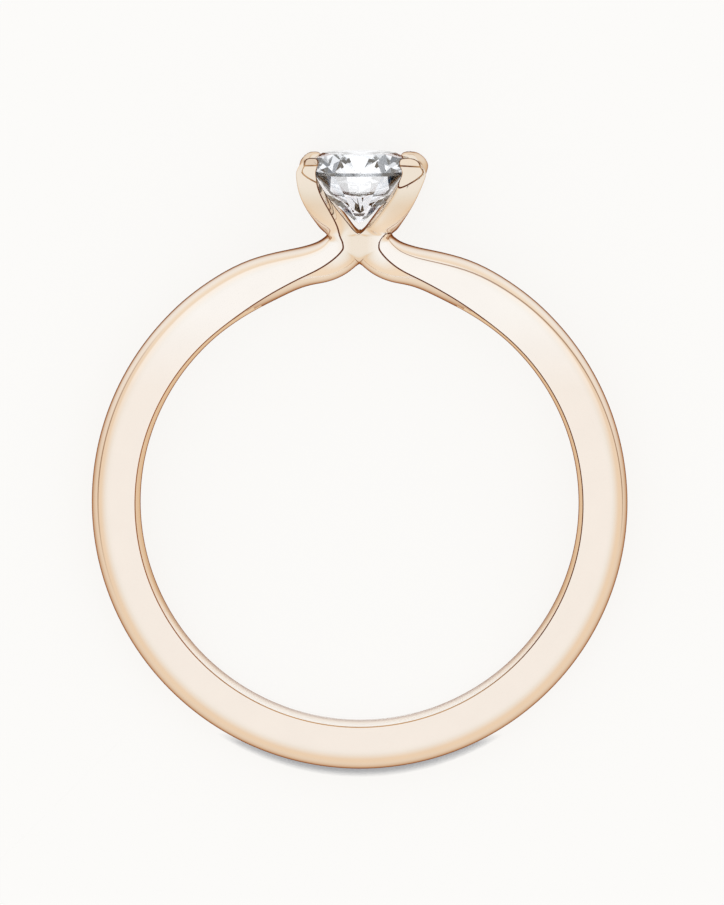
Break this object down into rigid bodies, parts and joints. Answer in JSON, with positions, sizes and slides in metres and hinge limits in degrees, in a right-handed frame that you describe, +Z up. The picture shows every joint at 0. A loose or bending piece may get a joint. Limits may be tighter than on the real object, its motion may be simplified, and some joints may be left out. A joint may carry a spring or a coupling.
{
  "type": "solitaire ring",
  "caption": "Solitaire ring: a D-shaped band whose ends rise back to back and split into claws that hold a round brilliant stone.",
  "frame": {"origin": "centre of the finger hole, halfway across the band", "axes": "+Z up, +Y from the finger hole's centre towards the head and the stone, +X across the ring. The ring lies on its side, so the finger hole's axis is about 3.7 degrees from +Z."},
  "size_m": [0.0212, 0.0245, 0.0048],
  "materials": {
    "rose_gold": "polished pale rose gold",
    "stone": "clear, faceted and polished"
  },
  "bodies": {
    "root": {"band_and_claws": "rose_gold", "stone": "stone"}
  },
  "joints": []
}
